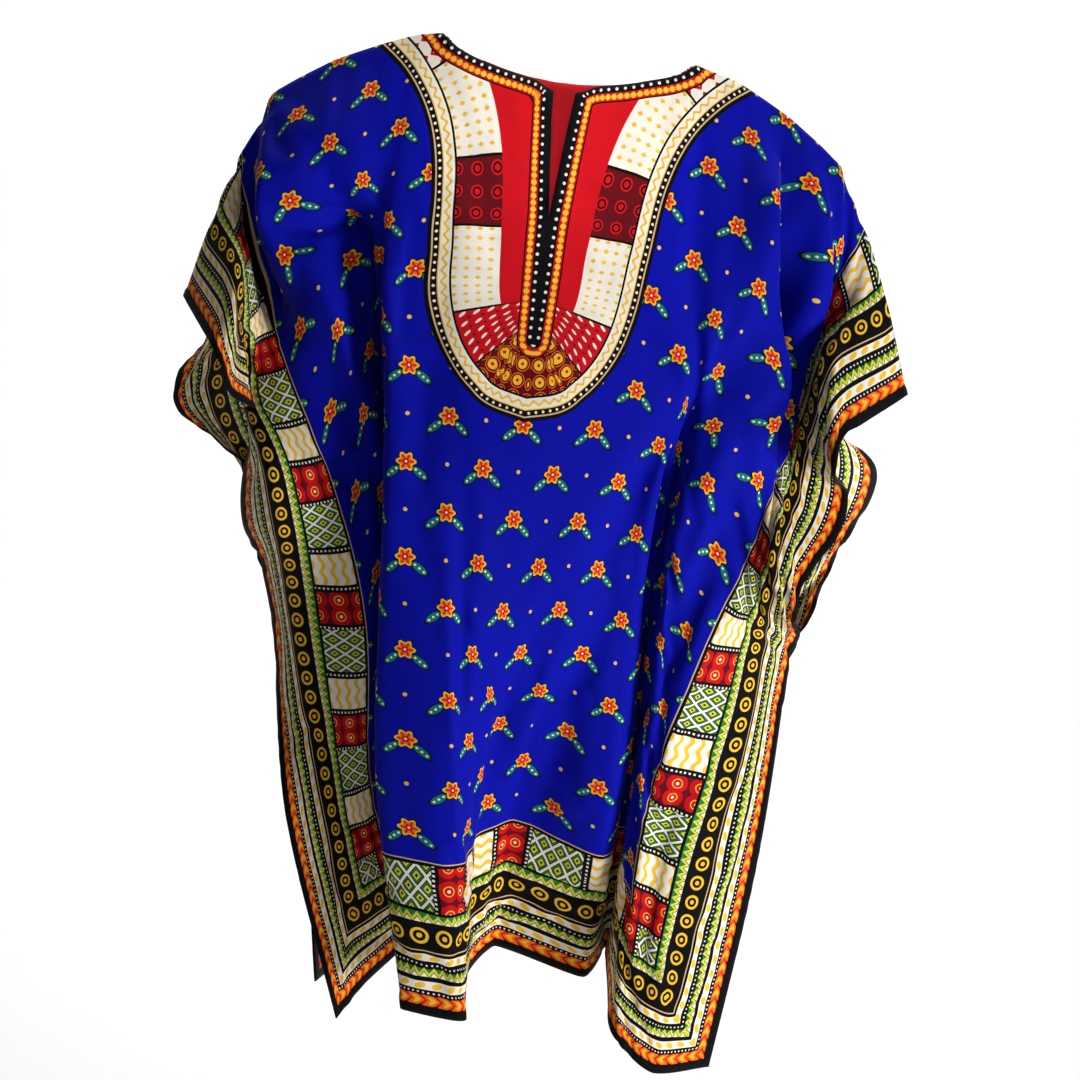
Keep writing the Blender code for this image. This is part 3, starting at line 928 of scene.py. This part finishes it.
def new_group(name, inputs=MOTIF, outputs=PAINTED):
    """An empty node group, wires from its inputs in order, and a function that joins its outputs."""
    tree = bpy.data.node_groups.new(name, "ShaderNodeTree")
    for socket, kind in inputs.items():
        tree.interface.new_socket(socket, in_out="INPUT", socket_type=kind)
    for socket, kind in outputs.items():
        tree.interface.new_socket(socket, in_out="OUTPUT", socket_type=kind)
    source = tree.nodes.new("NodeGroupInput")
    sink = tree.nodes.new("NodeGroupOutput")

    def finish(*values):
        for value, socket in zip(values, sink.inputs):
            plug(tree, value, socket)

    return tree, [Wire(tree, source.outputs[socket]) for socket in inputs], finish


def placed(tree, group_name, *values):
    """A group node with its inputs joined, giving its outputs as wires."""
    node = tree.nodes.new("ShaderNodeGroup")
    node.node_tree = bpy.data.node_groups[group_name]
    for value, socket in zip(values, node.inputs):
        plug(tree, value, socket)
    return [Wire(tree, output) for output in node.outputs]


# ---- The print ----


def border_print(inks):
    """Side and hem border. Place is the length along it from the corner, then the distance from the edge."""
    tree, (under, place), finish = new_group("Border print")
    paint = Paint(tree, under)
    along, away = place.split()
    paint.lay(away < BORDER_WIDTH, inks.tan)
    paint.lay(away < BORDER_WIDTH - 1, inks.black)
    paint.steps(
        away,
        (
            (0, inks.black), (9, inks.red), (17, inks.black), (22, inks.cream), (29, inks.black),
            (34, inks.green), (40, inks.black), (47, inks.cream), (53.5, inks.black), (56.5, inks.tan),
            (57.5, inks.black), (82, inks.green), (90, inks.black), (91, None),
        ),
    )
    for middle in DASH_ROWS:
        paint.lay(place.repeated(13).spot((0.0, middle), (4.4, 2.3), 20), inks.gold)
    for middle in DOT_ROWS:
        paint.lay(place.repeated(4).spot((0.0, middle), (0.8, 0.8)), inks.cream)
    rope = joined(tree, along + abs(away - ROPE_ROW) * 1.2, away).repeated(12)
    paint.steps(
        rope.framed((0.0, ROPE_ROW), 0, (5.0, 7.0)).length(),
        ((0.0, inks.gold), (0.45, inks.orange), (1.0, None)),
        away.near(ROPE_ROW, 4.4),
    )
    saw = along.math("PINGPONG", 3.6) * 1.5 - 2.7
    for middle in ZIGZAG_ROWS:
        paint.steps(
            away - middle - saw + 5,
            ((0, inks.cream), (2.2, inks.black), (3.2, inks.lime), (6.6, None)),
            away.near(middle, 4),
        )
    blocks(paint, along, away - BLOCK_ROW, inks)
    ring = place.repeated(RING_STEP).framed((0.0, RING_ROW), 0, (1.0, 1.0)).length()
    paint.steps(ring, ((0, inks.gold), (2.0, inks.black), (4.4, inks.gold), (6.6, None)))
    finish(paint.color)


def blocks(paint, along, high, inks):
    """The block strip: red with ringed dots, cream with gold waves, then lozenge lattice, barred apart."""
    tree = paint.tree
    inside = high.near(0, BLOCK_HALF)
    tile = joined(tree, along, high)
    lattice = tile.repeated(13, 20).lozenge(6.5, 10).math("PINGPONG", 1.0)
    paint.steps(
        lattice,
        (
            (0, inks.black), (0.18, inks.lime), (0.42, inks.black), (0.52, inks.green),
            (0.68, inks.black), (0.82, inks.cream), (1.0, inks.cream),
        ),
        inside,
    )
    turn = along.math("WRAP", BLOCK_REPEAT, 0)
    wave = high + (along * 0.42).math("SINE") * 1.6
    cream = inside * turn.near(*CREAM_BLOCK)
    paint.lay(cream, inks.cream)
    paint.lay(cream * wave.math("WRAP", 5.0, -5.0).near(0, 1.9), inks.gold)
    rose = joined(tree, turn, high).framed((12.5, 0.0), 0, (1.0, 1.0)).repeated(15, 20).length()
    paint.steps(
        rose,
        (
            (0, inks.cream), (1.4, inks.red), (3.6, inks.gold), (4.5, inks.red), (9.0, inks.maroon),
            (20, inks.maroon),
        ),
        inside * turn.near(*RED_BLOCK),
    )
    bars = turn.near_any(BLOCK_BARS, 3.5).math("MAXIMUM", high.math("ABSOLUTE").near(BLOCK_HALF, 0.8))
    paint.lay(bars * high.near(0, BLOCK_HALF + 0.8), inks.black)
    dots = turn.near_any(BLOCK_BARS, 0.9) * high.math("WRAP", 2.0, -2.0).near(0, 0.9)
    paint.lay(dots * inside, inks.cream)


def yoke_print(inks):
    """Neck yoke: blocks inside an edging, a red neck field, and the bands beside the neck edge.

    Place is the length along the yoke's outline and the distance in; Neck, the same by the neck edge.
    """
    inputs = dict(MOTIF, Neck="NodeSocketVector")
    tree, (under, place, neck), finish = new_group("Yoke print", inputs)
    paint = Paint(tree, under)
    along, deep = place.split()
    paint.steps(
        deep + 3,
        (
            (0, None), (0.01, inks.black), (3, inks.tan), (4.2, inks.black), (8.6, inks.gold),
            (9.4, inks.cream), (17.6, inks.black), (19.4, inks.cream),
        ),
    )
    paint.lay(place.repeated(6.0).spot((0.0, 3.4), (1.1, 1.1)), inks.cream)
    wave = deep - 10.5 - (along * 0.7).math("SINE") * 1.5
    paint.lay(wave.near(0, 1.1) * deep.near(10.5, 3.6), inks.gold)
    inner = deep > YOKE_EDGING
    speck = place.repeated(7.5, 9.0).lozenge(1.7, 2.6)
    paint.lay((speck < 1.0) * inner, inks.gold)
    star = place.repeated(12.5, 13.0).length()
    paint.steps(
        star,
        (
            (0, inks.red), (1.3, inks.gold), (3.9, inks.maroon), (5.2, inks.orange), (5.9, inks.maroon),
            (14, inks.maroon),
        ),
        inner * (along > YOKE_FOOT),
    )
    stem = place.repeated(9.0, 11.0)
    stalked = inner * along.near(*STALKED_BLOCK)
    paint.lay(stalked, inks.red)
    paint.lay(stem.spot((0.0, 0.0), (1.2, 3.3), 32) * stalked, inks.cream)
    paint.lay(stem.spot((4.5, 5.5), (1.0, 2.6), -32) * stalked, inks.black)
    lozenge = place.repeated(13.0, 13.0).lozenge(6.5, 6.5)
    paint.steps(
        lozenge,
        ((0, inks.black), (0.24, inks.cream), (0.40, inks.red), (0.86, inks.cream), (2, inks.cream)),
        inner * along.near(*LOZENGE_BLOCK),
    )
    paint.steps(
        place.repeated(16.0, 16.0).length(),
        ((0, inks.red), (2.2, inks.black), (3.6, inks.red), (5.0, inks.maroon), (16, inks.maroon)),
        inner * along.near(*RINGED_BLOCK),
    )
    paint.lay(along.near_any(YOKE_BARS, 1.0) * inner, inks.black)
    paint.lay((deep > NECK_FIELD[0]) * (along < NECK_FIELD[1]), inks.red)
    inward = neck.split()[1]
    edging = (inward > -13.5) * (deep > 3.0)
    paint.steps(
        0.0 - inward + 6,
        (
            (0, inks.black), (12.0, inks.red), (14.0, inks.orange), (16.6, inks.red), (18.2, inks.black),
            (24, inks.black),
        ),
        edging,
    )
    paint.lay(neck.repeated(5.2).spot((0.0, -9.2), (2.0, 2.2)) * edging, inks.gold)
    paint.lay(neck.repeated(7.0).spot((0.0, -3.2), (1.25, 1.25)) * edging, inks.cream)
    finish(paint.color)


def field_print(inks):
    """Small flowers, each over a pair of leaves, with dots between, in a half-drop repeat over the field."""
    tree, (under, place), finish = new_group("Field print")
    paint = Paint(tree, under)
    wide, high = FIELD_TILE
    for drop in (0.0, 0.5):
        spot = place.framed((drop * wide, drop * high), 0, (1.0, 1.0)).repeated(wide, high)
        for side in (-1, 1):
            paint.leaf(spot, (side * 10.5, 8.5), -50 * side, (3.6, 8.5), inks.black, inks.teal, inks.cream)
        bloom(paint, spot, 9.0, 6, inks)
        between = place.framed((drop * wide, (0.5 - drop) * high), 0, (1.0, 1.0)).repeated(wide, high)
        paint.lay(between.length() < FIELD_DOT, inks.gold)
    finish(paint.color)


def bloom(paint, place, size, petals, inks):
    """A round flower: its petals' edge is a circle that swells and narrows with the angle."""
    x, y = place.split()
    turn = (added(paint.tree, "ShaderNodeMath", "ARCTAN2", (y, x)) * petals).math("COSINE")
    reach = place.length() / (turn * 0.15 + 0.85) / size
    paint.steps(
        reach,
        (
            (0.0, inks.cream), (0.12, inks.red), (0.36, inks.orange), (0.70, inks.gold), (0.88, inks.black),
            (1.0, None),
        ),
    )
    paint.lay((turn > 0.6) * reach.near(0.46, 0.16), inks.red)


# ---- Cotton ----


COTTON_FINISH = {"Sheen Weight": 0.03, "Sheen Roughness": 0.4, "Specular IOR Level": 0.07}
THREAD = 0.55               # from thread to thread, in millimetres
HEM_BUMP = 0.0005
WEAVE_BUMP = 0.00012
DYE, WRONG_SIDE_PAINTED_LIGHT, DYE_RANGE = 0.85, 1.15, 0.30      # lowest value of the dye's unevenness on the right side; on the wrong side a brighter one, partly the paler back of the print and partly painted light standing in for light that comes through the thin cloth onto the inside; and how much it varies
BARE_SHARE = 0.03           # how much bare cotton shows through on the wrong side
BARE_COTTON = shown(150, 146, 152)


def cotton_surface():
    """Plain weave with slubs, the turned hem and its stitches, and the unevenness of the dye.

    Cut is the flat place, Edge the border's, both in millimetres.
    """
    inputs = {"Cut": "NodeSocketVector", "Edge": "NodeSocketVector", "Thread": "NodeSocketFloat"}
    outputs = {"Weave": "NodeSocketFloat", "Hem": "NodeSocketFloat", "Dye": "NodeSocketFloat"}
    tree, (cut, edge, thread), finish = new_group("Cotton surface", inputs, outputs)
    x, y = cut.split()
    weave = (x / thread * math.pi).math("SINE") * (y / thread * math.pi).math("SINE") * 0.5 + 0.5
    slub = tree.nodes.new("ShaderNodeTexNoise")
    slub.inputs["Scale"].default_value = 0.045
    slub.inputs["Detail"].default_value = 4.0
    slub.inputs["Roughness"].default_value = 0.6
    plug(tree, cut, slub.inputs["Vector"])
    dye = Wire(tree, slub.outputs["Fac"])
    along, away = edge.split()
    turned = ((9.5 - away) * 0.8).math("MAXIMUM", 0.0).math("MINIMUM", 1.0)
    stitch = edge.repeated(3.2).spot((0.0, 7.8), (1.3, 0.5))
    pucker = (along * 0.52 + dye * 9.0).math("SINE") * (1.0 - abs(away - 8.0) / 8.0).math("MAXIMUM", 0.0)
    finish(weave, turned + pucker * 0.5 - stitch * 0.7, dye)


def cotton_material(name, inks, wrong_side):
    """Printed cotton: the print, fainter on the wrong side and brightened there with painted light, over a
    fine plain weave.
    """
    cut = bpy.context.scene.dashiki_cut
    material = bpy.data.materials.new(name)
    material.use_nodes = True
    tree = material.node_tree
    shader = tree.nodes["Principled BSDF"]

    def place(layer):
        node = tree.nodes.new("ShaderNodeUVMap")
        node.uv_map = layer
        return Wire(tree, node.outputs[0])

    cloth = place("cut")
    side = cloth.vector("ABSOLUTE")
    across, down = side.split()
    from_side = cut.half / MM - across
    from_hem = cut.long / MM - down
    edge = joined(tree, from_side.math("MAXIMUM", from_hem), from_side.math("MINIMUM", from_hem))
    (color,) = placed(tree, "Field print", inks.ground, cloth)
    (color,) = placed(tree, "Border print", color, edge)
    (color,) = placed(tree, "Yoke print", color, place("yoke"), place("neck"))
    paint = Paint(tree, color)
    if wrong_side:
        paint.lay(BARE_SHARE, BARE_COTTON)
    weave, hem, dye = placed(tree, "Cotton surface", cloth, edge, THREAD)
    shade = tree.nodes.new("ShaderNodeHueSaturation")
    plug(tree, paint.color, shade.inputs["Color"])
    # On the wrong side the colour is brightened: painted light for light coming through the thin cloth onto
    # the inside of the shirt, and partly the paler back of the print
    plug(tree, dye * DYE_RANGE + (WRONG_SIDE_PAINTED_LIGHT if wrong_side else DYE), shade.inputs["Value"])
    tree.links.new(shade.outputs[0], shader.inputs["Base Color"])
    plug(tree, dye * 0.20 + 0.68, shader.inputs["Roughness"])
    normal = None
    for height, depth in ((hem, HEM_BUMP), (weave, WEAVE_BUMP)):
        bump = tree.nodes.new("ShaderNodeBump")
        bump.inputs["Strength"].default_value = 0.5
        bump.inputs["Distance"].default_value = depth
        plug(tree, height, bump.inputs["Height"])
        if normal:
            tree.links.new(normal, bump.inputs["Normal"])
        normal = bump.outputs[0]
    tree.links.new(normal, shader.inputs["Normal"])
    for socket, value in COTTON_FINISH.items():
        shader.inputs[socket].default_value = value
    return material


# ---- Stage ----


def sweep_mesh(stage):
    """Floor and backdrop as one sheet: a flat run, a quarter circle, and an upright run."""
    radius = 1.2
    turn = np.linspace(0.0, math.pi / 2, 24)
    flat = np.array([[-stage.floor_half, 0.0]])
    arc = np.column_stack([stage.backdrop + radius * np.sin(turn), radius * (1 - np.cos(turn))])
    rise = np.array([[stage.backdrop + radius, radius + stage.floor_half]])
    profile = np.concatenate([flat, arc, rise])
    across = np.array([-stage.floor_half, stage.floor_half])
    y, x = np.meshgrid(profile[:, 0], across, indexing="ij")
    z = np.broadcast_to(profile[:, 1:], x.shape) - stage.floor_drop
    points = np.stack([x, y, z], axis=2).reshape(-1, 3)
    first = np.arange(len(profile) - 1) * 2
    quads = np.column_stack([first, first + 1, first + 3, first + 2])
    mesh = bpy.data.meshes.new("stage sweep")
    mesh.from_pydata(points.tolist(), [], quads.tolist())
    mesh.shade_smooth()
    return mesh


# Soft disc lights: where each is, what it faces, how wide it and its beam (degrees) are
Light = namedtuple("Light", "name place target size watts beam")
LIGHTS = (
    Light("key", (1.42, -1.12, -0.62), (0.05, 0.0, -0.52), 0.6, 32, 180),
    Light("fill", (0.2, -2.6, 0.1), (0.0, 0.0, -0.35), 1.2, 5.5, 180),
    Light("neck", (0.03, -0.95, 0.50), (0.008, 0.03, -0.09), 0.18, 0.12, 18),
    Light("backdrop", (0.0, 0.7, 1.7), (0.0, 2.7, 0.1), 1.6, 96, 180),
)
SWEEP_GREY = 0.9
SKY_LIT = 0.06              # how strongly the sky lights the shirt
SKY_SEEN = 0.85             # and how bright it looks behind it


def add_sky():
    """A white sky that looks bright and lights little."""
    world = bpy.data.worlds.new("studio")
    world.use_nodes = True
    tree = world.node_tree
    sky = tree.nodes["Background"]
    sky.inputs["Color"].default_value = (1.0, 1.0, 1.0, 1.0)
    ray = tree.nodes.new("ShaderNodeLightPath")
    strength = tree.nodes.new("ShaderNodeMapRange")
    strength.inputs["To Min"].default_value = SKY_LIT
    strength.inputs["To Max"].default_value = SKY_SEEN
    tree.links.new(ray.outputs["Is Camera Ray"], strength.inputs["Value"])
    tree.links.new(strength.outputs["Result"], sky.inputs["Strength"])
    bpy.context.scene.world = world


def add_area_light(name, location, target, size, watts, beam):
    data = bpy.data.lights.new(name, "AREA")
    data.shape = "DISK"
    data.size = size
    data.energy = watts
    data.spread = math.radians(beam)
    obj = bpy.data.objects.new(name, data)
    aim = (Vector(target) - Vector(location)).to_track_quat("-Z", "Y").to_matrix().to_4x4()
    obj.matrix_world = Matrix.Translation(location) @ aim
    bpy.context.scene.collection.objects.link(obj)


def add_camera(stage):
    """Camera level with the shoulders, looking down a little, leaning by its roll."""
    place = Vector((0.0, -stage.distance, 0.0))
    aim = Vector((stage.aim_across, 0.0, -stage.aim_down))
    data = bpy.data.cameras.new("camera")
    data.sensor_width = 36.0
    data.lens = data.sensor_width * (aim - place).length / stage.view_width
    obj = bpy.data.objects.new("camera", data)
    look = (aim - place).to_track_quat("-Z", "Y").to_matrix().to_4x4()
    obj.matrix_world = Matrix.Translation(place) @ look @ Matrix.Rotation(stage.roll, 4, "Z")
    bpy.context.scene.collection.objects.link(obj)
    bpy.context.scene.camera = obj


# ---- Operators ----


class DASHIKI_OT_materials(bpy.types.Operator):
    """Make the printed cotton, right side and wrong side"""

    bl_idname = "dashiki.materials"
    bl_label = "Printed cotton"

    def execute(self, context):
        inks = context.scene.dashiki_inks
        border_print(inks)
        yoke_print(inks)
        field_print(inks)
        cotton_surface()
        cotton_material("printed cotton", inks, False)
        cotton_material("printed cotton, wrong side", inks, True)
        return {"FINISHED"}


class DASHIKI_OT_panels(bpy.types.Operator):
    """Hang the front and the back panel"""

    bl_idname = "dashiki.panels"
    bl_label = "Front and back panels"

    def execute(self, context):
        if "printed cotton" not in bpy.data.materials:
            raise RuntimeError("the printed cotton has to be made before the panels")
        front, back = hung_panels(context.scene.dashiki_cut)
        make_panel("front_cloth", "front_panel", True, front)
        make_panel("back_cloth", "back_panel", False, back)
        return {"FINISHED"}


class DASHIKI_OT_stage(bpy.types.Operator):
    """Set up the pale sweep, the lights and the camera"""

    bl_idname = "dashiki.stage"
    bl_label = "Stage"

    def execute(self, context):
        scene = context.scene
        stage = scene.dashiki_stage
        sweep = bpy.data.objects.new("sweep", sweep_mesh(stage))
        scene.collection.objects.link(sweep)
        paint = bpy.data.materials.new("pale sweep")
        paint.use_nodes = True
        shader = paint.node_tree.nodes["Principled BSDF"]
        shader.inputs["Base Color"].default_value = (SWEEP_GREY,) * 3 + (1.0,)
        shader.inputs["Roughness"].default_value = 0.9
        sweep.data.materials.append(paint)
        add_sky()
        for light in LIGHTS:
            add_area_light(*light)
        scene.view_settings.view_transform = "Standard"
        add_camera(stage)
        return {"FINISHED"}


class DASHIKI_PT_panel(bpy.types.Panel):
    """Dashiki shirt"""

    bl_label = "Dashiki Shirt"
    bl_idname = "DASHIKI_PT_panel"
    bl_space_type = "VIEW_3D"
    bl_region_type = "UI"
    bl_category = "Dashiki"

    def draw(self, context):
        scene = context.scene
        for settings in (scene.dashiki_cut, scene.dashiki_inks, scene.dashiki_stage):
            box = self.layout.box()
            for name in settings.__annotations__:
                box.prop(settings, name)
        for operator in OPERATORS:
            self.layout.operator(operator.bl_idname)


SETTINGS = {
    "dashiki_cut": DashikiCut,
    "dashiki_inks": DashikiInks,
    "dashiki_stage": DashikiStage,
}
OPERATORS = (DASHIKI_OT_materials, DASHIKI_OT_panels, DASHIKI_OT_stage)


def register():
    for name, group in SETTINGS.items():
        bpy.utils.register_class(group)
        setattr(bpy.types.Scene, name, bpy.props.PointerProperty(type=group))
    for operator in OPERATORS:
        bpy.utils.register_class(operator)
    bpy.utils.register_class(DASHIKI_PT_panel)


def unregister():
    bpy.utils.unregister_class(DASHIKI_PT_panel)
    for operator in reversed(OPERATORS):
        bpy.utils.unregister_class(operator)
    for name, group in reversed(SETTINGS.items()):
        delattr(bpy.types.Scene, name)
        bpy.utils.unregister_class(group)


def main():
    register()
    bpy.ops.dashiki.materials()
    bpy.ops.dashiki.panels()
    bpy.ops.dashiki.stage()


if __name__ == "__main__":
    main()
